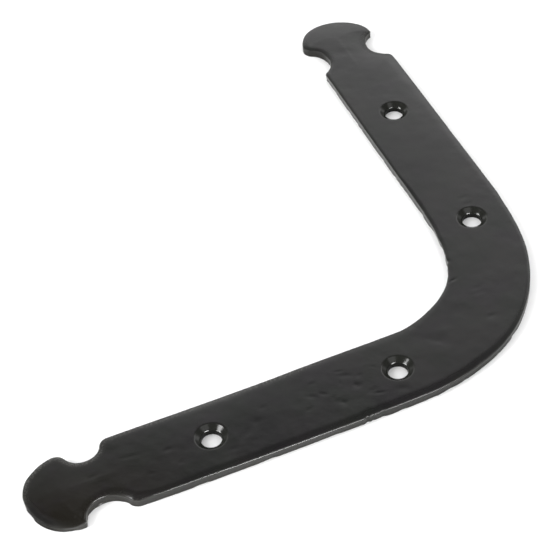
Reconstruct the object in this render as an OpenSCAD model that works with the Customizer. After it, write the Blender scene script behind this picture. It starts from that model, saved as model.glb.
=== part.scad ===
// Mending bracket: a flat strap bent into a right angle, with a rounded
// finial at the end of each arm and four countersunk screw holes.
// Lies on its back face, z = 0. The front face looks along +Z.
// The first arm runs along -X and the second along +Y from a wide bend.
// The origin is the middle of the outline's square, on the back face.

/* [Strap] */
// Width of the strap across each arm, mm
strap_w = 25; // [22:0.5:28]
// Thickness through the middle of the strap, mm
thick = 3; // [2.5:0.1:5]
// Length of each arm, from the outer edges' corner point to the tip, mm
leg = 170; // [150:1:260]
// Radius of the bend's inner edge, mm
bend_r = 32; // [25:1:40]

/* [Rolled edges] */
// Width of the rolled shoulder along each edge of the front face, mm
shoulder_w = 3; // [1.5:0.25:3]
// How far the shoulder falls below the front face at the side wall, mm
shoulder_fall = 0.87; // [0.5:0.01:1.2]
// Length of the narrow flat that takes the corner off between the shoulder
// and the side wall, measured back along each of them, mm
arris = 0.35; // [0.15:0.05:0.5]
// Width of the broken edge along the back face, mm
back_break = 0.25; // [0.1:0.05:0.4]

/* [Finials] */
// Radius of the round notches that make the neck, mm
notch_r = 6.5; // [5.5:0.25:7.5]
// Depth of each notch below the strap's edge, mm
notch_depth = 5.3; // [4.5:0.1:6]
// Distance from the round head's centre back to the notches, mm
notch_back = 7.1; // [6:0.1:8]
// Radius that rounds the strap's corner at each notch, mm
neck_round = 2; // [0.5:0.1:2.5]
// Radius that rounds the head's corner at each notch, mm
head_round = 0.9; // [0.5:0.1:1.2]
// How far the second arm's head sits inwards of the strap's centre, mm
head_set = 1.5; // [0:0.1:1.5]

/* [Screw holes] */
// Diameter of each screw hole, mm
hole_d = 5.8; // [5:0.1:7]
// Diameter of the countersink's mouth, mm
sink_d = 9.4; // [8:0.1:10.5]
// Full angle of the countersink's cone, degrees
sink_angle = 110; // [80:1:120]
// Width of the shallow flare that softens the countersink's mouth, mm
lip_w = 0.4; // [0.3:0.05:0.6]
// Depth of that flare, mm
lip_h = 0.15; // [0.05:0.05:0.25]
// Distance of the first arm's inner hole from the corner point, mm
hole_in_first = 59; // [50:0.5:65]
// Distance of the second arm's inner hole from the corner point, mm
hole_in_second = 58; // [50:0.5:65]
// Distance between the two holes of each arm, mm
hole_pitch = 57; // [30:0.5:60]

/* [Hidden] */
$fn = 96;
c = leg / 2;
half = strap_w / 2;
bend_out = bend_r + strap_w;
// the shoulder's arc meets the front face at this small angle
meet = 5;
arc_r = (shoulder_w * shoulder_w + shoulder_fall * shoulder_fall)
      / (2 * (cos(meet) * shoulder_fall - sin(meet) * shoulder_w));
arc_x = shoulder_w + arc_r * sin(meet);
arc_z = thick - arc_r * cos(meet);
// the corner where the shoulder's arc would reach the side wall, its slope
// there, and the line of the narrow flat across that corner
corner_z = arc_z + sqrt(arc_r * arc_r - arc_x * arc_x);
slope = asin(arc_x / arc_r);
flat_lean = 45 + slope / 2;
// the countersink's cone starts this high in the screw hole
ca = sink_angle / 2;
hole_r = hole_d / 2;
sink_r = sink_d / 2;
cone_z = thick - (sink_r - hole_r) / tan(ca);
// how far the notches' centres lie outside the strap's edges
notch_off = notch_r - notch_depth;
// the rounded corners cross their walls by this much and don't graze them
cross = 0.01;

// What is cut from the upper left corner of a section whose wall is at x = 0
module shoulder_waste() {
  difference() {
    translate([-1, arc_z]) square([arc_x + 1, thick + 1 - arc_z]);
    translate([arc_x, arc_z]) circle(r = arc_r);
  }
  polygon([[0, corner_z - arris] - [cos(flat_lean), sin(flat_lean)],
           [0, corner_z - arris] + 2 * [cos(flat_lean), sin(flat_lean)],
           [-1, thick + 1]]);
}

// What is cut from the lower left corner of such a section
module back_waste() {
  polygon([[-1, -1], [back_break + 1, -1], [-1, back_break + 1]]);
}

// Half of the strap's section, from its centre line at x = 0 to its wall
module half_section() {
  difference() {
    square([half, thick]);
    translate([half, 0]) mirror([1, 0]) { shoulder_waste(); back_waste(); }
  }
}

// The whole section, centred on x = 0
module section() {
  union() {
    half_section();
    mirror([1, 0]) half_section();
  }
}

// A straight length of strap along +X from x = 0, centred on y = 0
module strap(len) {
  rotate([90, 0, 90]) linear_extrude(height = len) section();
}

// The quarter turn between the arms, centred on its own axis
module bend() {
  rotate([0, 0, -90]) rotate_extrude(angle = 90)
    translate([bend_r + half, 0]) section();
}

// The round head, with its centre at the origin, pointing along -X
module head() {
  rotate([0, 0, 90]) rotate_extrude(angle = 180) half_section();
}

// The tool that cuts one notch and rolls the notch's edge like the strap's
module notch_tool() {
  rotate_extrude() union() {
    translate([0, -1]) square([notch_r, thick + 2]);
    translate([notch_r, 0]) { shoulder_waste(); back_waste(); }
  }
}

// The tool that rounds a corner of the outline. The rounding's centre is at
// p, and the outline runs on from where the directions a and b leave it.
module corner_tool(p, r, a, b) {
  reach = r + 2.5;
  mid = (a + b) / norm(a + b) * reach * 1.2;
  translate([p.x, p.y, -1]) linear_extrude(height = thick + 2) difference() {
    polygon([[0, 0], a * reach, mid, b * reach]);
    circle(r = r);
  }
}

// Both rounded corners of the notch on the side y < 0, where the strap's
// edge is y = -half and the head's centre is at [head_x, head_y]
module notch_corners(neck_x, head_x, head_y) {
  n = [neck_x, -half - notch_off];
  // the strap's corner runs from the strap's edge into the notch
  sr = neck_round - cross;
  sp = [neck_x + sqrt(pow(notch_r + sr, 2) - pow(sr + notch_off, 2)), -half + sr];
  corner_tool(sp, neck_round, [0, -1], (n - sp) / norm(n - sp));
  // the head's corner runs into the notch from the head's circle, or from
  // the straight edge just behind it
  h = [head_x, head_y];
  hr = head_round - cross;
  nr = notch_r + hr;
  ly = head_y - half + hr;
  line_p = [neck_x - sqrt(nr * nr - pow(ly - n.y, 2)), ly];
  d = norm(h - n);
  along = (nr * nr - pow(half - hr, 2) + d * d) / (2 * d);
  u = (h - n) / d;
  arc_p = n + along * u - sqrt(nr * nr - along * along) * [u.y, -u.x];
  straight = line_p.x > head_x;
  hp = straight ? line_p : arc_p;
  corner_tool(hp, head_round, straight ? [0, -1] : (hp - h) / norm(hp - h),
              (n - hp) / norm(n - hp));
}

// The tool that cuts one countersunk screw hole
module hole_tool() {
  flare_r = sink_r - lip_h * tan(ca);
  rotate_extrude()
    polygon([[0, -1], [hole_r, -1], [hole_r, cone_z], [flare_r, thick - lip_h],
             [flare_r + lip_w * (lip_h + 1) / lip_h, thick + 1], [0, thick + 1]]);
}

// One arm's straight strap, neck and head, running along -X from the bend.
// The corner point is at x = 0, the strap's centre line is y = 0, and set
// moves the head towards +Y.
module arm(set) {
  neck_x = -(leg - half - notch_back);
  difference() {
    union() {
      translate([neck_x, 0, 0]) strap(-neck_x - bend_out);
      translate([neck_x - notch_back, set, 0]) strap(notch_back);
      translate([-(leg - half), set, 0]) head();
    }
    for (side = [-1, 1])
      translate([neck_x, side * (half + notch_off), 0]) notch_tool();
    notch_corners(neck_x, -(leg - half), set);
    mirror([0, 1, 0]) notch_corners(neck_x, -(leg - half), -set);
  }
}

// The whole bracket, one forged piece
module bracket() color([0.07, 0.07, 0.075]) {
  difference() {
    union() {
      translate([c, -c + half, 0]) arm(0);
      translate([c - bend_out, -c + bend_out, 0]) bend();
      translate([c - half, -c, 0]) rotate([0, 0, -90]) arm(-head_set);
    }
    for (d = [0, hole_pitch]) {
      translate([c - hole_in_first - d, -c + half, 0]) hole_tool();
      translate([c - half, -c + hole_in_second + d, 0]) hole_tool();
    }
  }
}

bracket();
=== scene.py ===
import math
from collections import Counter

import bpy
import numpy as np
from mathutils import Matrix, Vector
from mathutils.geometry import delaunay_2d_cdt


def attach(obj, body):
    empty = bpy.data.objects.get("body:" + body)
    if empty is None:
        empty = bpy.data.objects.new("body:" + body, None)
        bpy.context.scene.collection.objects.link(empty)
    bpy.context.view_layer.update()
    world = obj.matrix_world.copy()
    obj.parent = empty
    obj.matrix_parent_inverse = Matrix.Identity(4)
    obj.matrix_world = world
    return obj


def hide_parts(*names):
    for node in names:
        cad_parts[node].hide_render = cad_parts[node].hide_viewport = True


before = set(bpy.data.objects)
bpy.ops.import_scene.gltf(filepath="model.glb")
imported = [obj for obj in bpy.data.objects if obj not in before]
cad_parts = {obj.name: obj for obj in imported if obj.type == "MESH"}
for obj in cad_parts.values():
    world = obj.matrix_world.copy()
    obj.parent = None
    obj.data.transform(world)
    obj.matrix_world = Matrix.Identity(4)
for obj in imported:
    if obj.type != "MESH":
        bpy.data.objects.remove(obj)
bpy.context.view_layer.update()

# ---------------------------------------------------------------------------
# Sizes in mm, as in the construction. The mesh is scaled to metres at the end.
# ---------------------------------------------------------------------------
THICK = 3.0
HALF = 12.5
BEND = (28.0, -28.0)
BEND_IN, BEND_OUT = 32.0, 57.0
HEAD_U = 72.5            # how far out a head's centre lies along its arm
HEAD_SET = 1.5           # the second arm's head sits this much inwards
HOLES = ((26.0, -72.5), (-31.0, -72.5), (72.5, -27.0), (72.5, 30.0))
HOLE_R, MOUTH_R, SINK = 2.9, 4.7, math.radians(55)
CONE_Z = THICK - (MOUTH_R - HOLE_R) / math.tan(SINK)

# Each notch was cut by hand: where its centre lies along and across the arm, its
# radius, and the rounding of its corner on the arm and of its corner on the head.
FIRST_FAR = (65.6, 12.8, 5.6, 3.1, 3.3)
FIRST_NEAR = (64.6, 13.7, 6.7, 3.3, 1.0)
SECOND_OUTER = (66.2, 13.8, 7.2, 2.1, 0.5)
SECOND_INNER = (65.6, 16.5, 8.2, 1.2, 3.5)

# How the hand work departs from the drawn outline, chosen in round steps. One
# row: how far round the outline (anticlockwise from (28, -85)), how far the wall's
# foot and the wall's top stand inside it. Between the rows it runs straight.
CUT = (
    # round the outside of the bend, flattened past its middle
    (0, 0.3, 0.5), (10, 0.4, 0.5), (20, 0.4, 0.5), (30, 0.0, 0.0), (38, -0.2, -0.2), (48, 0.0, 0.0),
    (58, 0.3, 0.3), (66, 0.6, 0.6), (72, 0.7, 0.7), (78, 0.9, 0.9), (84, 0.9, 0.9), (90, 0.6, 0.6), (98, 0.0, 0.0),
    # second arm's outer side, its notch and its head
    (125, 0.0, 0.0), (129, 0.1, 0.1), (134, 0.0, 0.0), (173, 0.0, 0.0),
    (176, 0.2, 0.2), (180, 0.1, 0.1), (183, 0.3, 0.3), (187, 0.0, 0.0), (192, 0.2, 0.2), (198, -0.1, -0.1),
    (203, 0.4, 0.4), (208, 0.7, 0.7), (213, 0.5, 0.5), (219, -0.1, -0.1), (223, -0.5, -0.5), (230, -0.2, -0.2),
    (236, 0.2, 0.2), (241, 0.0, 0.0), (245, 0.2, 0.1), (249, -0.1, -0.2),
    # its inner side, and the inside of the bend with the place left rough
    (255, 0.1, -0.1), (290, 0.1, 0.1), (308, 0.2, 0.2), (315, 0.4, 0.4), (326, 0.4, 0.4), (331, 0.2, 0.2),
    (335, 0.4, 0.0), (339, -0.2, -0.6), (346, -0.4, -0.5), (350, -0.3, -0.3), (354, 0.2, 0.2), (360, 0.5, 0.5),
    (366, 0.3, 0.3), (372, 0.0, 0.0), (382, 0.0, 0.0), (386, -0.3, -0.3), (392, -0.2, -0.2),
    # first arm's inner side, its notch and its head
    (410, -0.2, -0.2), (425, 0.0, 0.0), (460, -0.1, -0.1), (475, -0.1, -0.1), (479, 0.1, 0.1), (483, -0.1, -0.1),
    (500, 0.0, 0.0), (504, -0.4, -0.4), (508, -0.3, -0.3), (512, 0.0, 0.0), (515, 0.3, 0.3), (526, 0.1, 0.1),
    (532, -0.1, -0.1), (536, 0.4, 0.5), (540, 0.0, 0.4), (547, 0.1, 0.5), (551, 0.4, 0.9), (555, 0.3, 0.6),
    # its outer side, back to the bend
    (560, 0.1, 0.3), (572, 0.0, 0.3), (580, 0.0, 0.1), (618, 0.0, 0.0), (623, 0.2, 0.3), (627, 0.0, 0.3),
)

# The edge of the face. One row: how far round, how much lower than the middle of
# the face it ends, over what width it rolls down, and how much of the fall is a
# crown over the half width of the strap.
ROLL = (
    (0, 0.60, 2.7, 0.06),
    (11, 0.60, 2.8, 0.06),
    (20, 0.58, 2.5, 0.06),
    (28, 0.52, 1.9, 0.06),
    (38, 0.44, 1.3, 0.06),
    (48, 0.38, 1.1, 0.07),
    (58, 0.34, 1.1, 0.08),
    (80, 0.32, 1.2, 0.08),
    (95, 0.30, 2.0, 0.10),
    (120, 0.34, 2.4, 0.12),
    (145, 0.42, 2.8, 0.18),
    (158, 0.46, 3.0, 0.22),
    (164, 0.56, 4.0, 0.24),
    (174, 0.60, 4.2, 0.26),
    (180, 0.50, 3.2, 0.30),
    (186, 0.46, 2.2, 0.34),
    (200, 0.44, 2.0, 0.30),
    (215, 0.44, 2.0, 0.32),
    (228, 0.36, 1.6, 0.20),
    (238, 0.30, 1.2, 0.08),
    (248, 0.30, 1.2, 0.05),
    (255, 0.26, 0.9, 0.03),
    (310, 0.26, 0.9, 0.03),
    (318, 0.42, 1.3, 0.03),
    (335, 0.42, 1.3, 0.03),
    (344, 0.35, 1.1, 0.05),
    (360, 0.35, 1.4, 0.08),
    (372, 0.30, 2.0, 0.10),
    (385, 0.30, 3.0, 0.14),
    (400, 0.32, 3.0, 0.16),
    (414, 0.42, 3.0, 0.22),
    (426, 0.56, 3.0, 0.33),
    (438, 0.66, 3.0, 0.40),
    (452, 0.64, 3.0, 0.38),
    (460, 0.52, 2.6, 0.30),
    (467, 0.44, 2.4, 0.24),
    (480, 0.42, 2.0, 0.22),
    (500, 0.42, 2.0, 0.20),
    (511, 0.50, 2.2, 0.14),
    (517, 0.75, 3.0, 0.20),
    (523, 1.00, 3.8, 0.30),
    (530, 0.90, 3.4, 0.28),
    (535, 0.55, 2.4, 0.10),
    (539, 0.40, 1.9, 0.05),
    (546, 0.58, 2.3, 0.05),
    (551, 0.80, 2.5, 0.05),
    (553, 0.75, 2.4, 0.05),
    (556, 0.46, 1.9, 0.04),
    (563, 0.42, 1.8, 0.04),
    (570, 0.46, 2.0, 0.04),
    (578, 0.56, 2.3, 0.05),
    (590, 0.60, 2.5, 0.06),
    (622, 0.60, 2.6, 0.06),
)

# The coat along the edge. One row: how far round, how dry and grainy it is on the
# rim, how far rubbing has polished the corner, and how matt it is; where it is matt the colour is also darkened as
# painted shade.
COAT = (
    (0, 0.0, 0.1, 0.2),
    (6, 0.0, 0.0, 0.3),
    (30, 0.0, 0.0, 0.3),
    (50, 0.0, 0.1, 0.1),
    (62, 0.0, 0.2, 0.0),
    (120, 0.0, 0.3, 0.0),
    (176, 0.0, 0.2, 0.0),
    (186, 0.6, 0.0, 0.3),
    (194, 0.8, 0.0, 0.3),
    (200, 0.0, 0.2, 0.0),
    (216, 0.0, 0.1, 0.0),
    (227, 0.4, 0.0, 0.0),
    (231, 0.3, 0.0, 0.7),
    (238, 0.3, 0.0, 0.7),
    (243, 0.2, 0.0, 0.1),
    (250, 0.0, 0.2, 0.0),
    (404, 0.0, 0.3, 0.0),
    (412, 0.9, 0.1, 0.0),
    (464, 1.0, 0.1, 0.0),
    (478, 0.9, 0.0, 0.0),
    (506, 1.0, 0.0, 0.0),
    (511, 0.5, 0.0, 0.3),
    (514, 0.1, 0.0, 1.0),
    (522, 0.0, 0.0, 1.0),
    (525, 0.0, 0.0, 0.5),
    (530, 0.0, 0.0, 0.0),
    (540, 0.2, 0.0, 0.0),
    (544, 0.1, 0.0, 0.2),
    (549, 0.1, 0.0, 0.2),
    (552, 0.1, 0.2, 0.0),
    (557, 0.0, 0.1, 0.1),
    (568, 0.0, 0.2, 0.1),
    (578, 0.0, 1.0, 0.0),
    (590, 0.0, 0.8, 0.0),
    (603, 0.0, 1.0, 0.0),
    (609, 0.0, 0.1, 0.1),
    (626, 0.0, 0.0, 0.3),
)


# ---------------------------------------------------------------------------
# Noise: seeded Perlin noise over points in mm
# ---------------------------------------------------------------------------
def perlin(p, size, seed):
    """Smooth noise of about the given feature size at points (n, 3), about -1 to 1."""
    perm = np.random.default_rng(seed).permutation(512)
    grads = np.array([(x, y, z) for x in (-1, 0, 1) for y in (-1, 0, 1) for z in (-1, 0, 1)
                      if abs(x) + abs(y) + abs(z) == 2], float)
    q = p / size + 100.5
    cell = np.floor(q).astype(int)
    f = q - cell
    w = f * f * f * (f * (f * 6 - 15) + 10)
    total = np.zeros(len(p))
    for dx in (0, 1):
        for dy in (0, 1):
            for dz in (0, 1):
                i = perm[(cell[:, 0] + dx) % 512]
                i = perm[(i + cell[:, 1] + dy) % 512]
                i = perm[(i + cell[:, 2] + dz) % 512]
                g = grads[i % 12]
                d = ((f - (dx, dy, dz)) * g).sum(1)
                wx = w[:, 0] if dx else 1 - w[:, 0]
                wy = w[:, 1] if dy else 1 - w[:, 1]
                wz = w[:, 2] if dz else 1 - w[:, 2]
                total += d * wx * wy * wz
    return total


def flat(xy, z=0.0):
    return np.column_stack([xy, np.full(len(xy), z)])


def smooth(t):
    t = np.clip(t, 0, 1)
    return t * t * (3 - 2 * t)


# ---------------------------------------------------------------------------
# The outline, anticlockwise
# ---------------------------------------------------------------------------
def arc(c, r, a0, a1, step):
    n = max(2, int(math.ceil(abs(a1 - a0) * r / step)) + 1)
    t = np.linspace(a0, a1, n)
    return np.column_stack([c[0] + r * np.cos(t), c[1] + r * np.sin(t)])


def line(a, b, step):
    n = max(2, int(math.ceil(math.dist(a, b) / step)) + 1)
    t = np.linspace(0, 1, n)[:, None]
    return np.array(a) * (1 - t) + np.array(b) * t


def towards(a, b):
    return math.atan2(b[1] - a[1], b[0] - a[0])


def arm_side(notch, head_v, step=0.5):
    """Outline of an arm's side v > 0 in (u along the arm, v across), from the bend to the head's tip."""
    u, v, radius, on_arm, on_head = notch
    centre = (u, v)
    neck = (u - math.sqrt((radius + on_arm) ** 2 - (v - (HALF - on_arm)) ** 2), HALF - on_arm)
    head = (HEAD_U, head_v)
    reach = radius + on_head
    y = head_v + HALF - on_head
    corner = (u + math.sqrt(max(reach ** 2 - (y - v) ** 2, 0)), y)
    leave = math.pi / 2
    if corner[0] > HEAD_U:
        d = math.dist(head, centre)
        along = (reach ** 2 - (HALF - on_head) ** 2 + d * d) / (2 * d)
        e = ((head[0] - u) / d, (head[1] - v) / d)
        side = math.sqrt(reach ** 2 - along ** 2)
        both = [(u + along * e[0] + s * side * e[1], v + along * e[1] - s * side * e[0]) for s in (1, -1)]
        corner = max(both, key=lambda q: q[1])
        leave = towards(head, corner)
    start = towards(centre, neck) % (2 * math.pi)
    end = towards(centre, corner) % (2 * math.pi)
    if end < start:
        end += 2 * math.pi
    parts = [
        line((-BEND[0], HALF), (neck[0], HALF), step),
        arc(neck, on_arm, math.pi / 2, towards(neck, centre), 0.24),
        arc(centre, radius, start, end, 0.4),
        arc(corner, on_head, towards(corner, centre) % (2 * math.pi), leave, 0.14 if on_head < 1.5 else 0.24),
    ]
    if leave == math.pi / 2:
        parts.append(line((corner[0], head_v + HALF), (HEAD_U, head_v + HALF), 0.4))
    parts.append(arc(head, HALF, leave, 0, step))
    return np.vstack(parts)


def arm(notch, back_notch, head_v):
    """The whole arm: out along v > 0, round the head, and back along v < 0."""
    return np.vstack([arm_side(notch, head_v), arm_side(back_notch, -head_v)[::-1] * (1, -1)])


def outline():
    a = arm(FIRST_FAR, FIRST_NEAR, 0.0)
    b = arm(SECOND_OUTER, SECOND_INNER, -HEAD_SET)
    first = np.column_stack([-a[:, 0], -72.5 + a[:, 1]])
    second = np.column_stack([72.5 + b[:, 1], b[:, 0]])
    q = math.pi / 2
    path = np.vstack([arc(BEND, BEND_OUT, -q, 0, 0.5), second, arc(BEND, BEND_IN, 0, -q, 0.5), first])
    keep = [0]
    for i in range(1, len(path)):
        if math.dist(path[i], path[keep[-1]]) > 0.06:
            keep.append(i)
    if math.dist(path[keep[-1]], path[0]) < 0.06:
        keep.pop()
    return path[keep]


def inward(path):
    """Unit normals into the metal, by each point's two edges."""
    e = np.roll(path, -1, 0) - path
    n = np.column_stack([-e[:, 1], e[:, 0]])
    n /= np.linalg.norm(n, axis=1)[:, None]
    n = n + np.roll(n, 1, 0)
    return n / np.linalg.norm(n, axis=1)[:, None]


def run_length(path):
    """How far round each point lies, and the whole way round."""
    step = np.linalg.norm(np.roll(path, -1, 0) - path, axis=1)
    return np.concatenate([[0.0], np.cumsum(step)[:-1]]), step.sum()


def round_table(table, at, whole):
    """A table's columns at places round the outline, run straight between rows and smoothed over 1 mm."""
    rows = np.array(table)
    fine = np.arange(0, whole, 0.25)
    kernel = np.exp(-(np.arange(-12, 13) * 0.25) ** 2 / (2 * 0.6 ** 2))
    kernel /= kernel.sum()
    columns = []
    for k in range(1, rows.shape[1]):
        v = np.interp(fine, rows[:, 0], rows[:, k], period=whole)
        v = np.convolve(np.concatenate([v[-12:], v, v[:12]]), kernel, "valid")
        columns.append(np.interp(at, fine, v, period=whole))
    return columns


def bump(xy, centre, width, way=None):
    """A smooth hump of height 1 round a point, or round a line through it when way gives a second half width along a direction in degrees."""
    d = xy - np.array(centre)
    if way is None:
        return np.exp(-(d ** 2).sum(1) / (2 * width ** 2))
    along, turn = way
    t = math.radians(turn)
    a = d[:, 0] * math.cos(t) + d[:, 1] * math.sin(t)
    b = -d[:, 0] * math.sin(t) + d[:, 1] * math.cos(t)
    return np.exp(-((a / along) ** 2 + (b / width) ** 2) / 2)


# Small nicks in the edge: place, half width, depth
NICKS = (
    ((57.4, -40.7), 0.50, 0.40),
    ((55.2, -46.4), 0.45, 0.22),
    ((54.1, -48.6), 0.40, 0.30),
    ((11.0, -85.0), 0.40, 0.40),
    ((12.6, -85.0), 0.30, 0.25),
    ((15.8, -85.0), 0.50, 0.22),
)


def nicked(path):
    p = flat(path)
    depth = 0.020 * perlin(p, 6.0, 4) + 0.016 * perlin(p, 2.2, 5)
    for centre, width, deep in NICKS:
        depth = depth + deep * bump(path, centre, width)
    return depth


class Edge:
    """Distance to a closed polyline and how far round it the nearest point lies, for many points at once."""

    def __init__(self, path, at=None, whole=None):
        self.a = path
        self.e = np.roll(path, -1, 0) - path
        self.l2 = (self.e ** 2).sum(1)
        self.at, self.whole = at, whole
        if at is not None:
            self.step = np.append(np.diff(at), whole - at[-1])

    def look(self, pts):
        out, where = np.empty(len(pts)), np.zeros(len(pts))
        for i in range(0, len(pts), 1500):
            p = pts[i : i + 1500, None, :] - self.a[None]
            t = np.clip((p * self.e).sum(2) / self.l2, 0, 1)
            d = ((p - t[..., None] * self.e) ** 2).sum(2)
            k = d.argmin(1)
            r = np.arange(len(k))
            out[i : i + 1500] = np.sqrt(d[r, k])
            if self.at is not None:
                where[i : i + 1500] = self.at[k] + t[r, k] * self.step[k]
        return out, where

    def distance(self, pts):
        return self.look(pts)[0]

    def inside(self, pts):
        hit = np.zeros(len(pts), bool)
        b = self.a + self.e
        for i in range(0, len(pts), 1500):
            p = pts[i : i + 1500]
            y0, y1 = self.a[None, :, 1] > p[:, 1:], b[None, :, 1] > p[:, 1:]
            with np.errstate(divide="ignore", invalid="ignore"):
                x = self.a[None, :, 0] + (p[:, 1:] - self.a[None, :, 1]) * self.e[None, :, 0] / self.e[None, :, 1]
            hit[i : i + 1500] = (((y0 != y1) & (p[:, :1] < x)).sum(1) % 2) == 1
        return hit


# ---------------------------------------------------------------------------
# The face: crown, rolled edge, hammered waves and dents
# ---------------------------------------------------------------------------
# Dents: centre, half width, (half length, direction in degrees), depth
DENTS = (
    ((-43.6, -71.8), 0.45, (0.9, 5), 0.07),
    ((-41.8, -77.5), 0.4, (0.6, 30), 0.05),
    ((-53.9, -69.5), 0.5, (2.2, -8), 0.05),
    ((-50.3, -77.7), 0.4, (0.6, 0), 0.05),
    ((-65.4, -72.0), 0.6, (1.1, 25), 0.035),
    ((-14.3, -69.3), 0.4, (0.7, 10), 0.07),
    ((-21.6, -75.7), 0.8, (1.8, 30), 0.05),
    ((-26.6, -79.4), 0.6, (1.1, 0), 0.06),
    ((-17.7, -73.2), 0.7, (1.2, -20), 0.05),
    ((11.4, -68.7), 0.6, (1.4, -25), 0.055),
    ((13.2, -73.7), 0.6, (1.0, 20), 0.07),
    ((6.5, -76.5), 0.8, (1.5, -15), 0.06),
    ((7.3, -78.1), 0.6, (0.9, 30), 0.07),
    ((1.8, -67.3), 0.5, (1.1, 15), 0.05),
    ((-0.5, -71.5), 0.5, (1.2, -30), 0.05),
    ((16.0, -77.0), 0.6, (1.2, 10), 0.05),
    ((12.6, -72.9), 0.40, (0.6, 40), 0.08),
    ((10.2, -66.4), 0.35, (0.9, -10), 0.06),
    ((7.0, -77.3), 0.45, (0.55, 0), 0.09),
    ((5.2, -74.6), 0.40, (0.7, 50), 0.06),
    ((3.1, -72.2), 0.45, (0.9, -30), 0.06),
    ((17.6, -78.6), 0.40, (1.3, -15), 0.07),
    ((14.9, -70.2), 0.40, (0.7, 20), 0.05),
    ((-2.6, -75.6), 0.45, (0.8, 15), 0.05),
    ((19.8, -69.0), 0.40, (0.8, -35), 0.04),
    ((8.9, -70.6), 0.35, (0.6, 75), 0.05),
    ((24.0, -80.0), 0.8, (1.6, -20), 0.08),
    ((11.7, -83.6), 0.4, (0.8, 70), 0.12),
    ((39.0, -66.2), 1.6, (4.5, -25), 0.07),
    ((41.0, -68.6), 0.8, (1.5, -40), 0.06),
    ((55.4, -48.5), 0.28, (1.3, 10), 0.12),
    ((73.9, -17.9), 0.5, (1.0, 20), 0.05),
    ((74.3, -21.1), 0.5, (1.0, 15), 0.05),
    ((60.4, -54.5), 0.5, (1.2, 5), 0.06),
    ((59.8, -56.4), 0.5, (1.2, 5), 0.05),
    ((59.0, -66.3), 0.5, (1.0, 10), 0.07),
    ((76.0, 81.8), 0.45, (0.6, 90), 0.12),
    ((69.5, 66.5), 1.4, (2.8, -20), 0.05),
)


def hammered(xy):
    """How far the worn face lies below the smooth one, never negative."""
    p = flat(xy)
    # forging left the first arm a little rougher than the second
    rough = 0.45 + 0.55 * smooth((40 - xy[:, 1] - xy[:, 0]) / 90 + 0.25) - 0.4 * smooth((-50 - xy[:, 0]) / 8)
    w = 0.030 * perlin(p, 17, 11) + (0.020 + 0.016 * rough) * perlin(p, 7.5, 12) + (0.009 + 0.015 * rough) * perlin(p, 3.4, 13)
    w = w + 0.012 * rough * perlin(p, 1.9, 14)
    for centre, width, way, depth in DENTS:
        w = w + depth * bump(xy, centre, width, way)
        w = w - 0.25 * depth * bump(xy, centre, width * 1.9, (way[0] * 1.6, way[1]))
    return np.clip(w + 0.055, 0.0, None)


def face(xy, d, where):
    """Height of the face at distance d from the wall, nearest to a place round the outline."""
    fall, width, crown = round_table(ROLL, where, whole)
    roll = (fall - crown) * np.clip(1 - d / width, 0, None) ** 2
    return THICK - roll - crown * np.clip(1 - d / HALF, 0, None) ** 2.2 - hammered(xy) * smooth(d / 1.2 + 0.35)


# ---------------------------------------------------------------------------
# The mesh
# ---------------------------------------------------------------------------
drawn = outline()
at, whole = run_length(drawn)
foot_in, top_in = round_table(CUT, at, whole)
dry_at, shine_at, dull_and_shade_at = round_table(COAT, at, whole)
nick = nicked(drawn)
drawn_normal = inward(drawn)
box = 84.995                                     # the hand work stays inside the construction's box


def kept(path):
    return np.clip(path, -box, box)


ragged = 0.42 * np.clip(perlin(flat(drawn), 4.6, 6) + 0.35 * perlin(flat(drawn), 1.9, 7) - 0.05, 0, None)
foot_path = kept(drawn + drawn_normal * (foot_in + nick + ragged)[:, None])
path = kept(drawn + drawn_normal * (top_in + nick)[:, None])
normal = inward(path)
edge = Edge(path, at, whole)
N = len(path)
verts, faces = [], []


def add(points):
    first = len(verts)
    verts.extend(map(tuple, points))
    return list(range(first, first + len(points)))


def band(low, high):
    """Quads between two closed rings of the same length; low to high turns the face outwards of an anticlockwise ring."""
    n = len(low)
    for i in range(n):
        j = (i + 1) % n
        faces.append((low[i], low[j], high[j], high[i]))


# how tightly the outline turns, so that the rounding of the top edge never folds over a sharp corner
e = np.roll(path, -1, 0) - path
a0 = np.arctan2(e[:, 1], e[:, 0])
bend = (a0 - np.roll(a0, 1) + math.pi) % (2 * math.pi) - math.pi
length = np.linalg.norm(e, axis=1)
turned = sum(np.roll(bend, k) for k in range(-2, 3))
gone = sum(np.roll(length, k) for k in range(-2, 3))
radius = np.where(turned > 1e-3, gone / np.clip(turned, 1e-3, None), 1e3)
ARRIS = 0.55
top_run = np.clip(0.42 * radius, 0.08, ARRIS)
top_run = np.min([np.roll(top_run, k) for k in range(-3, 4)], 0)
top_run = np.mean([np.roll(top_run, k) for k in range(-2, 3)], 0)

rim_xy = path + normal * top_run[:, None]
rim_z = face(rim_xy, top_run, at)
slope = (face(rim_xy, top_run + 0.05, at) - rim_z) / 0.05
corner_z = rim_z - slope * top_run
wall_top = corner_z - np.minimum(top_run * 1.1, 0.5)

BREAK = 0.12
WALL_ROUGH = 0.12
loops = []


def wall_ring(share, z, inset):
    """A ring on the wall: share 0 at the foot, 1 at the top."""
    xy = foot_path * (1 - share) + path * share + normal * inset
    p = np.column_stack([xy, z])
    wave = 0.6 * perlin(p * (1, 1, 1.6), 3.6, 21) + 0.4 * perlin(p * (1, 1, 1.2), 1.5, 22)
    rough = WALL_ROUGH * (1 + 2.0 * bump(path, (-64.6, -82.0), 5.5)) * smooth(z / 0.4) * smooth((wall_top + 0.15 - z) / 0.6)
    xy = kept(xy + normal * (rough * np.clip(0.5 + wave, 0, None))[:, None])
    return add(np.column_stack([xy, z]))


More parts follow.
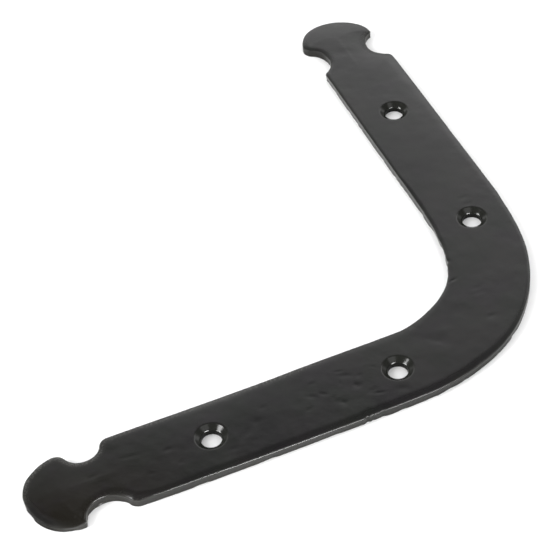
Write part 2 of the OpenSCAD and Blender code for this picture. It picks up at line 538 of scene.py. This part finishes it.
for t in np.linspace(0, math.pi / 2, 4):
    loops.append(wall_ring(0.0, np.full(N, BREAK * (1 - math.cos(t))), BREAK * (1 - math.sin(t))))
for share in np.linspace(0, 1, 8)[1:]:
    loops.append(wall_ring(share, BREAK + (wall_top - BREAK) * share, 0.0))
for t in (0.14, 0.28, 0.42, 0.56, 0.70, 0.85, 1.0):
    along = (t * t * top_run)[:, None]
    z = (1 - t) ** 2 * wall_top + 2 * t * (1 - t) * corner_z + t * t * rim_z
    loops.append(add(np.column_stack([path + normal * along, z])))
for low, high in zip(loops, loops[1:]):
    band(low, high)
rim = loops[-1]

# rings of points on the rolled edge, then a grid over the rest
scattered = []
for d in (0.30, 0.42, 0.58, 0.76, 0.97, 1.22, 1.52, 1.88, 2.30, 2.80, 3.4):
    pts = path + normal * d
    true, where = edge.look(pts)
    ok = (true > d - 0.02) & edge.inside(pts) & (true > np.interp(where, at, top_run, period=whole) + 0.10)
    for h in HOLES:
        ok &= np.hypot(*(pts - h).T) > 6.3
    scattered.append(pts[ok])
G = 0.54


def lattice(x0, x1, y0, y1, gap):
    gx, gy = np.meshgrid(np.arange(x0, x1, gap), np.arange(y0, y1, gap * math.sqrt(3) / 2))
    gx[1::2] += gap / 2
    return np.column_stack([gx.ravel(), gy.ravel()])


grid = lattice(-85, 85, -85, 85, G)
near = (grid[:, 1] < -59) | (grid[:, 0] > 57) | (np.hypot(grid[:, 0] - BEND[0], grid[:, 1] - BEND[1]) > 31)
grid = grid[near]
# closer points where the small dents lie, before the bend
DENTED = (-4.0, 20.3, -80.8, -65.0)
x0, x1, y0, y1 = DENTED
grid = grid[(grid[:, 0] < x0) | (grid[:, 0] > x1) | (grid[:, 1] < y0) | (grid[:, 1] > y1)]
grid = np.vstack([grid, lattice(x0 + 0.2, x1 - 0.2, y0 + 0.2, y1 - 0.1, 0.34)])
grid = grid[edge.inside(grid)]
grid = grid[edge.distance(grid) > 3.4 + 0.4 * G]
for h in HOLES:
    grid = grid[np.hypot(*(grid - h).T) > 6.3]
rng = np.random.default_rng(5)
scattered.append(grid + rng.uniform(-0.06, 0.06, grid.shape))

M = 96
turn = np.linspace(0, 2 * math.pi, M, endpoint=False)
circle = np.column_stack([np.cos(turn), np.sin(turn)])
for h in HOLES:
    for r in (5.20, 5.45, 5.8, 6.3):
        scattered.append(np.array(h) + (circle if r < 5.6 else circle[::2]) * r)
scattered = np.vstack(scattered)

# the countersink's section from the face down to the back: radius, height
mouth = 0.8                                     # rounding of its mouth
t0 = mouth * math.tan((math.pi / 2 - SINK) / 2)
section = []
for a in np.linspace(0, math.pi / 2 - SINK, 7):
    section.append((MOUTH_R + t0 - mouth * math.sin(a), THICK - mouth * (1 - math.cos(a))))
foot = 1.1                                      # rounding where the cone meets the bore
t1 = foot * math.tan(SINK / 2)
cone_end = (HOLE_R + t1 * math.sin(SINK), CONE_Z + t1 * math.cos(SINK))
a, b = section[6], cone_end
for k in (1, 2, 3):
    section.append((a[0] + (b[0] - a[0]) * k / 4, a[1] + (b[1] - a[1]) * k / 4))
for a in np.linspace(SINK, 0, 6):
    section.append((HOLE_R + foot * (1 - math.cos(a)), CONE_Z - t1 + foot * math.sin(a)))
section.append((HOLE_R, 0.32))
for a in (0.0, 0.5, 1.0):
    section.append((HOLE_R + 0.18 * (1 - math.cos(a * math.pi / 2)), 0.18 * (1 - math.sin(a * math.pi / 2))))

hole_top, hole_back = [], []
for h in HOLES:
    xy = np.array(h) + circle * section[0][0]
    level = face(xy, *edge.look(xy))
    rings = [add(np.column_stack([xy, level]))]
    for r, z in section[1:]:
        share = smooth((z - 1.2) / 1.5)
        rings.append(add(np.column_stack([np.array(h) + circle * r, z + (level - THICK) * share])))
    for outer, inner in zip(rings, rings[1:]):
        for i in range(M):
            j = (i + 1) % M
            faces.append((outer[i], outer[j], inner[j], inner[i]))
    hole_top.append(rings[0])
    hole_back.append(rings[-1])


def fill(outer, inners, extra, height, flip):
    """Triangles between a closed outer ring and the holes' rings, with extra points between."""
    ids = list(outer) + [i for r in inners for i in r]
    fixed = np.array([verts[i][:2] for i in ids])
    pts = np.vstack([fixed, extra])
    edges, start = [], 0
    for r in [outer, *inners]:
        n = len(r)
        edges += [(start + i, start + (i + 1) % n) for i in range(n)]
        start += n
    out, _, tris, origin, _, _ = delaunay_2d_cdt([Vector(q) for q in pts], edges, [], 0, 1e-7, True)
    if len(out) != len(pts) or any(len(o) != 1 for o in origin):
        odd = [tuple(round(c, 2) for c in out[i]) for i, o in enumerate(origin) if len(o) != 1][:6]
        raise SystemExit("the rings of a face cross near %s" % odd)
    known = ids + add(np.column_stack([extra, height]))
    index = [known[o[0]] for o in origin]
    place = np.array([(v.x, v.y) for v in out])
    tris = np.array([t for t in tris if len(t) == 3])
    centre = place[tris].mean(1)
    ok = Edge(fixed[: len(outer)]).inside(centre)
    for k, h in enumerate(HOLES):
        r = np.hypot(*(np.array(verts[inners[k][0]][:2]) - h))
        ok &= np.hypot(*(centre - h).T) > r * math.cos(math.pi / M)
    # a sliver along a straight stretch of the rim lies outside it: its long side is no ring's edge and no other triangle's
    sides = [[frozenset((origin[t[i]][0], origin[t[i - 1]][0])) for i in range(3)] for t in tris[ok]]
    ring = {frozenset(pair) for pair in edges}
    used = Counter(pair for three in sides for pair in three)
    for t, three in zip(tris[ok], sides):
        if any(used[pair] != 2 and pair not in ring for pair in three):
            continue
        a, b, c = place[t]
        up = (b[0] - a[0]) * (c[1] - a[1]) - (b[1] - a[1]) * (c[0] - a[0]) > 0
        t = [index[i] for i in t]
        faces.append(tuple(t) if up != flip else tuple(t[::-1]))


fill(rim, hole_top, scattered, face(scattered, *edge.look(scattered)), False)

# the back: flat, with a sparse grid and slight hollows
back_path = np.array([verts[i][:2] for i in loops[0]])
back_edge = Edge(back_path)
back = []
for d, skip in ((0.9, 2), (2.2, 4)):
    pts = (back_path + normal * d)[::skip]
    ok = (back_edge.distance(pts) > d - 0.05) & back_edge.inside(pts)
    for h in HOLES:
        ok &= np.hypot(*(pts - h).T) > 4.6
    back.append(pts[ok])
gx, gy = np.meshgrid(np.arange(-85, 85, 2.0), np.arange(-85, 85, 1.73))
gx[1::2] += 1.0
g = np.column_stack([gx.ravel(), gy.ravel()])
g = g[back_edge.inside(g)]
g = g[back_edge.distance(g) > 3.2]
for h in HOLES:
    g = g[np.hypot(*(g - h).T) > 5.0]
back.append(g)
for h in HOLES:
    back.append(np.array(h) + circle[::2] * 3.8)
back = np.vstack(back)
lift = 0.05 * np.clip(perlin(flat(back), 14, 31) + 0.25 * perlin(flat(back), 5, 32), 0, None)
lift = lift * smooth((back_edge.distance(back) - 0.8) / 2)
fill(loops[0], hole_back, back, lift, True)

mesh = bpy.data.meshes.new("bracket_forged")
mesh.from_pydata([(x / 1000, y / 1000, z / 1000) for x, y, z in verts], [], faces)
if mesh.validate():
    raise SystemExit("the mesh had broken faces")
mesh.polygons.foreach_set("use_smooth", [True] * len(mesh.polygons))

# what the material reads: distance from the wall, where the countersinks are, and the walls
co = np.array(verts)
d_wall = edge.distance(co[:, :2])
sink = np.zeros(len(co))
for h in HOLES:
    sink = np.maximum(sink, smooth((5.15 - np.hypot(*(co[:, :2] - h).T)) / 0.7))
side = np.zeros(len(co))
for ring, amount in zip(loops, (1,) * 12 + (0.8, 0.6, 0.4, 0.3, 0.2, 0.1)):
    side[ring] = amount
rubbed = np.zeros(len(co))
for ring, amount in zip(loops[9:], (0.1, 0.35, 0.7, 1, 1, 1, 0.8, 0.5, 0.3)):
    rubbed[ring] = amount * shine_at
dry_rim, matt_and_shade = np.zeros(len(co)), np.zeros(len(co))
on_rim = d_wall < 3.0
dryness, _, dull_and_shade = round_table(COAT, edge.look(co[on_rim, :2])[1], whole)
dry_rim[on_rim], matt_and_shade[on_rim] = dryness, dull_and_shade * smooth((2.6 - d_wall[on_rim]) / 1.6)
# the bores below the countersink are darkened and dulled: painted shade in the recess
for h in HOLES:
    bore = (np.hypot(*(co[:, :2] - h).T) < 3.4) & (co[:, 2] < 1.7)
    matt_and_shade[bore] = smooth((1.70 - co[bore, 2]) / 0.18)
for name, values in (("wall_distance", d_wall), ("countersink", sink), ("side", side), ("arris", rubbed), ("dry", dry_rim), ("matt_and_shade", matt_and_shade)):
    mesh.attributes.new(name, "FLOAT", "POINT").data.foreach_set("value", values.astype(np.float32))
mesh.update()

bracket = bpy.data.objects.new("bracket_forged", mesh)
bpy.context.scene.collection.objects.link(bracket)
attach(bracket, "root")
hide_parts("bracket")
print("bracket: %d vertices, %d triangles" % (len(mesh.vertices), sum(len(p.vertices) - 2 for p in mesh.polygons)))


# ---------------------------------------------------------------------------
# Materials
# ---------------------------------------------------------------------------
def tree_of(mat):
    mat.use_nodes = True
    mat.node_tree.nodes.clear()
    return mat.node_tree


def node(tree, kind, **sockets):
    n = tree.nodes.new(kind)
    for k, v in sockets.items():
        if k in n.inputs:
            n.inputs[k].default_value = v
        else:
            setattr(n, k, v)
    return n


def noise(tree, coord, scale, detail=3.0, rough=0.5, distortion=0.0):
    n = node(tree, "ShaderNodeTexNoise")
    n.inputs["Scale"].default_value = scale
    n.inputs["Detail"].default_value = detail
    n.inputs["Roughness"].default_value = rough
    n.inputs["Distortion"].default_value = distortion
    tree.links.new(coord, n.inputs["Vector"])
    return n.outputs["Fac"]


def remap(tree, value, a, b, c, d, kind="SMOOTHSTEP"):
    n = node(tree, "ShaderNodeMapRange")
    n.interpolation_type = kind
    for name, v in (("From Min", a), ("From Max", b), ("To Min", c), ("To Max", d)):
        n.inputs[name].default_value = v
    tree.links.new(value, n.inputs["Value"])
    return n.outputs["Result"]


def maths(tree, op, a, b=None, clamp=False):
    n = node(tree, "ShaderNodeMath")
    n.operation = op
    n.use_clamp = clamp
    for i, v in enumerate((a, b)):
        if v is None:
            continue
        if isinstance(v, (int, float)):
            n.inputs[i].default_value = v
        else:
            tree.links.new(v, n.inputs[i])
    return n.outputs[0]


def mixed(tree, fac, a, b):
    n = node(tree, "ShaderNodeMix")
    n.data_type = "RGBA"
    for s, v in ((n.inputs[0], fac), (n.inputs[6], a), (n.inputs[7], b)):
        if isinstance(v, (int, float, tuple)):
            s.default_value = v
        else:
            tree.links.new(v, s)
    return n.outputs[2]


def attribute(tree, name):
    n = node(tree, "ShaderNodeAttribute")
    n.attribute_name = name
    return n.outputs["Fac"]


paint = bpy.data.materials.new("black_satin_paint")
t = tree_of(paint)
out = node(t, "ShaderNodeOutputMaterial")
bsdf = node(t, "ShaderNodeBsdfPrincipled")
t.links.new(bsdf.outputs[0], out.inputs[0])
coord = node(t, "ShaderNodeTexCoord").outputs["Object"]
wall_d = attribute(t, "wall_distance")
in_sink = attribute(t, "countersink")
on_side = attribute(t, "side")

# colour: near black, with faint brown and green-grey clouds, and paler specks near the edges that are partly rubbed
# wear and partly painted glints
cloud = remap(t, noise(t, coord, 38, 3, 0.55), 0.35, 0.65, 0, 1)
tint = remap(t, noise(t, coord, 95, 2, 0.5, 0.3), 0.40, 0.62, 0, 1)
colour = mixed(t, cloud, (0.0085, 0.0084, 0.0085, 1), (0.0120, 0.0114, 0.0112, 1))
colour = mixed(t, maths(t, "MULTIPLY", tint, 0.5), colour, (0.0095, 0.0108, 0.0090, 1))
split = node(t, "ShaderNodeSeparateXYZ")
t.links.new(coord, split.inputs[0])
warm = maths(t, "MULTIPLY", remap(t, split.outputs[0], -0.03, -0.08, 0, 1), remap(t, split.outputs[1], -0.064, -0.080, 0.3, 1))
colour = mixed(t, maths(t, "MULTIPLY", warm, 0.8), colour, (0.0086, 0.0072, 0.0050, 1))
plum = remap(t, noise(t, coord, 62, 3, 0.6), 0.46, 0.66, 0, 1)
plum = maths(t, "MULTIPLY", plum, maths(t, "SUBTRACT", 1.0, in_sink))
colour = mixed(t, maths(t, "MULTIPLY", in_sink, 0.7), colour, (0.0100, 0.0106, 0.0084, 1))
colour = mixed(t, maths(t, "MULTIPLY", plum, 0.6), colour, (0.0112, 0.0096, 0.0112, 1))
# pale specks close to the wall: partly rubbed wear, partly painted glints on the edge
speck = remap(t, noise(t, coord, 1500, 2, 0.6), 0.66, 0.78, 0, 1)
near_edge = remap(t, wall_d, 0.2, 1.6, 1, 0)
wear_and_glints = maths(t, "MULTIPLY", speck, maths(t, "MULTIPLY", near_edge, 0.5))
colour = mixed(t, wear_and_glints, colour, (0.075, 0.072, 0.068, 1))
# where the coat is dry the rim is paler and grainy
dry_edge = remap(t, wall_d, 0.2, 2.3, 1, 0)
grain = remap(t, noise(t, coord, 2100, 3, 0.6), 0.44, 0.66, 0, 1)
dry = maths(t, "MULTIPLY", maths(t, "MULTIPLY", dry_edge, grain), maths(t, "MULTIPLY", attribute(t, "dry"), 0.8))
colour = mixed(t, dry, colour, (0.070, 0.069, 0.062, 1))
# the cut walls are scaly and a little warmer
scale = remap(t, noise(t, coord, 1300, 3, 0.65), 0.36, 0.66, 0.1, 1)
colour = mixed(t, maths(t, "MULTIPLY", maths(t, "MULTIPLY", on_side, scale), 0.5), colour, (0.0260, 0.0255, 0.0175, 1))
# where the coat is matt, on parts of the rim and in the bores, the colour is darkened towards black as painted shade
matt_and_shade = attribute(t, "matt_and_shade")
colour = mixed(t, maths(t, "MULTIPLY", matt_and_shade, 0.6), colour, (0.0030, 0.0032, 0.0028, 1))
t.links.new(colour, bsdf.inputs["Base Color"])

# gloss: satin on the face, glossier in the countersinks
r_face = remap(t, noise(t, coord, 160, 4, 0.6), 0.3, 0.7, 0.18, 0.26, "LINEAR")
r_mix = node(t, "ShaderNodeMix")
r_mix.data_type = "FLOAT"
t.links.new(in_sink, r_mix.inputs[0])
t.links.new(r_face, r_mix.inputs[2])
r_mix.inputs[3].default_value = 0.16
r_wall = node(t, "ShaderNodeMix")
r_wall.data_type = "FLOAT"
t.links.new(on_side, r_wall.inputs[0])
t.links.new(r_mix.outputs[0], r_wall.inputs[2])
r_wall.inputs[3].default_value = 0.30
worn_gloss = maths(t, "SUBTRACT", 1.0, maths(t, "MULTIPLY", attribute(t, "arris"), 0.45))
gloss = maths(t, "MULTIPLY", r_wall.outputs[0], worn_gloss)
t.links.new(maths(t, "ADD", gloss, maths(t, "MULTIPLY", matt_and_shade, 0.3)), bsdf.inputs["Roughness"])
# the same places reflect less, which deepens the painted shade in the bores and on the dull rim
t.links.new(remap(t, matt_and_shade, 0, 1, 0.5, 0.12, "LINEAR"), bsdf.inputs["Specular IOR Level"])
bsdf.inputs["IOR"].default_value = 1.5
bsdf.inputs["Metallic"].default_value = 0.0

# relief too fine for the mesh: the paint's orange peel over a scaly forged skin
fine = noise(t, coord, 2600, 3, 0.55)
mid = noise(t, coord, 620, 4, 0.6)
calm = maths(t, "SUBTRACT", 1.0, maths(t, "MULTIPLY", in_sink, 0.9))
coarse_side = maths(t, "ADD", 1.0, maths(t, "MULTIPLY", on_side, 1.4))
height = maths(t, "ADD", maths(t, "MULTIPLY", fine, 0.25), mid)
height = maths(t, "MULTIPLY", maths(t, "MULTIPLY", height, calm), coarse_side)
b = node(t, "ShaderNodeBump")
b.inputs["Strength"].default_value = 1.0
b.inputs["Distance"].default_value = 0.000022
t.links.new(height, b.inputs["Height"])
t.links.new(b.outputs[0], bsdf.inputs["Normal"])
mesh.materials.append(paint)

# ---------------------------------------------------------------------------
# Studio: pale floor, soft light, camera
# ---------------------------------------------------------------------------
floor_mesh = bpy.data.meshes.new("floor")
S = 3.0
floor_mesh.from_pydata([(-S, -S, -2e-5), (S, -S, -2e-5), (S, S, -2e-5), (-S, S, -2e-5)], [], [(0, 1, 2, 3)])
floor = bpy.data.objects.new("floor", floor_mesh)
bpy.context.scene.collection.objects.link(floor)
fm = bpy.data.materials.new("pale_paper")
ft = tree_of(fm)
fo = node(ft, "ShaderNodeOutputMaterial")
fb = node(ft, "ShaderNodeBsdfDiffuse")
fb.inputs["Color"].default_value = (0.88, 0.88, 0.88, 1)
ft.links.new(fb.outputs[0], fo.inputs[0])
floor_mesh.materials.append(fm)


def softbox(name, az, el, distance, width, height, radiance, target=(0.0, 0.0, 0.0), colour=(1, 1, 1)):
    """A rectangular soft light. az runs from -Y towards +X, el is above the floor, both in degrees; radiance 1 is a white wall."""
    a, e = math.radians(az), math.radians(el)
    at = Vector((math.sin(a) * math.cos(e), -math.cos(a) * math.cos(e), math.sin(e))) * distance + Vector(target)
    data = bpy.data.lights.new(name, "AREA")
    data.shape = "RECTANGLE"
    data.size, data.size_y = width, height
    data.energy = radiance * math.pi * width * height
    data.color = colour
    o = bpy.data.objects.new(name, data)
    o.location = at
    o.rotation_euler = (Vector(target) - at).to_track_quat("-Z", "Y").to_euler()
    bpy.context.scene.collection.objects.link(o)
    return o


softbox("left_box", -88, 17, 1.2, 0.80, 0.24, 13)
softbox("left_strip", -94, 36, 1.2, 0.40, 0.60, 11)
softbox("front_box", 16, 19, 1.2, 0.66, 0.22, 20)
softbox("front_soft", 28, 56, 1.6, 0.90, 0.80, 0.85)
for place, el, size, strength in (((16, 19), 19, (0.62, 0.26), 16), ((-88, 16), 16, (0.80, 0.24), 8)):
    lamp = softbox("sheen_%d" % abs(place[0]), place[0], place[1], 1.19, size[0], size[1], strength)
    lamp.visible_diffuse = False
# the room's bounce: more from the sides than from above, so that the floor in the holes is darker than outside
for round_, strength in ((30, 0.9), (120, 1.0), (210, 1.0), (300, 0.9)):
    lamp = softbox("bounce_%d" % round_, round_, 27, 1.8, 2.0, 1.2, strength)
    lamp.visible_glossy = False
lamp = softbox("ceiling", 163, 76, 1.6, 3.4, 3.4, 0.66)
lamp.visible_glossy = False

world = bpy.data.worlds.new("studio")
bpy.context.scene.world = world
world.use_nodes = True
w = world.node_tree
w.nodes.clear()
wo = node(w, "ShaderNodeOutputWorld")
bg = node(w, "ShaderNodeBackground")
w.links.new(bg.outputs[0], wo.inputs[0])
wc = node(w, "ShaderNodeTexCoord").outputs["Generated"]
sep = node(w, "ShaderNodeSeparateXYZ")
w.links.new(wc, sep.inputs[0])
X, Y, Z = sep.outputs
elev = maths(w, "MULTIPLY", maths(w, "ARCSINE", Z), 180 / math.pi)
azim = maths(w, "MULTIPLY", maths(w, "ARCTAN2", X, Y), 180 / math.pi)     # 0 along +Y, 90 along +X
sweep = maths(w, "SUBTRACT", elev, maths(w, "MULTIPLY", azim, 0.25))
ramp = node(w, "ShaderNodeValToRGB")
w.links.new(maths(w, "MULTIPLY", sweep, 0.01), ramp.inputs[0])
stops = ramp.color_ramp.elements
for place, strength in ((0.14, 1.4), (0.20, 1.7), (0.26, 1.75), (0.30, 1.45), (0.33, 1.08), (0.36, 0.82), (0.39, 0.68), (0.43, 0.63), (0.46, 0.52), (0.49, 0.26), (0.53, 0.02)):
    stop = stops.new(place)
    stop.color = (strength / 2, strength / 2, strength / 2, 1)
stops.remove(stops[0])
stops.remove(stops[len(stops) - 1])
back_wall = maths(w, "MULTIPLY", ramp.outputs[0], 2.0)
# the backdrop stands behind the object; the room beside and in front of it is dim
behind = remap(w, maths(w, "ABSOLUTE", maths(w, "SUBTRACT", azim, 25)), 40, 66, 1, 0)
front_low = remap(w, elev, 4, 18, 0.6, 0.12)
# its foot is in shade, and it ends on the right above the level of the eye's reflection
right_high = maths(w, "MULTIPLY", remap(w, elev, 40, 47, 0, 1), remap(w, azim, 31, 44, 0, 1))
back_wall = maths(w, "MULTIPLY", back_wall, maths(w, "SUBTRACT", 1.0, right_high))
back_wall = maths(w, "MULTIPLY", back_wall, remap(w, elev, 13, 25, 0.15, 1))
level = maths(w, "ADD", maths(w, "MULTIPLY", back_wall, behind), maths(w, "MULTIPLY", front_low, maths(w, "SUBTRACT", 1.0, behind)))
w.links.new(level, bg.inputs["Strength"])
bg.inputs["Color"].default_value = (1, 1, 1, 1)

cam_data = bpy.data.cameras.new("camera")
cam_data.sensor_width = 36
cam_data.lens = 1610.0946 / 550 * 36
cam_data.clip_start, cam_data.clip_end = 0.01, 20
cam = bpy.data.objects.new("camera", cam_data)
right = Vector((0.92419686, -0.37394101, -0.07764209))
down = Vector((-0.31978041, -0.64652521, -0.69263674))
ahead = Vector((0.20880771, 0.66496111, -0.71709557))
cam.matrix_world = Matrix((
    (right.x, -down.x, -ahead.x, -0.09346935),
    (right.y, -down.y, -ahead.y, -0.34692346),
    (right.z, -down.z, -ahead.z, 0.35235638),
    (0, 0, 0, 1)))
bpy.context.scene.collection.objects.link(cam)
bpy.context.scene.camera = cam

bpy.context.scene.view_settings.view_transform = "Standard"
bpy.context.scene.view_settings.look = "None"
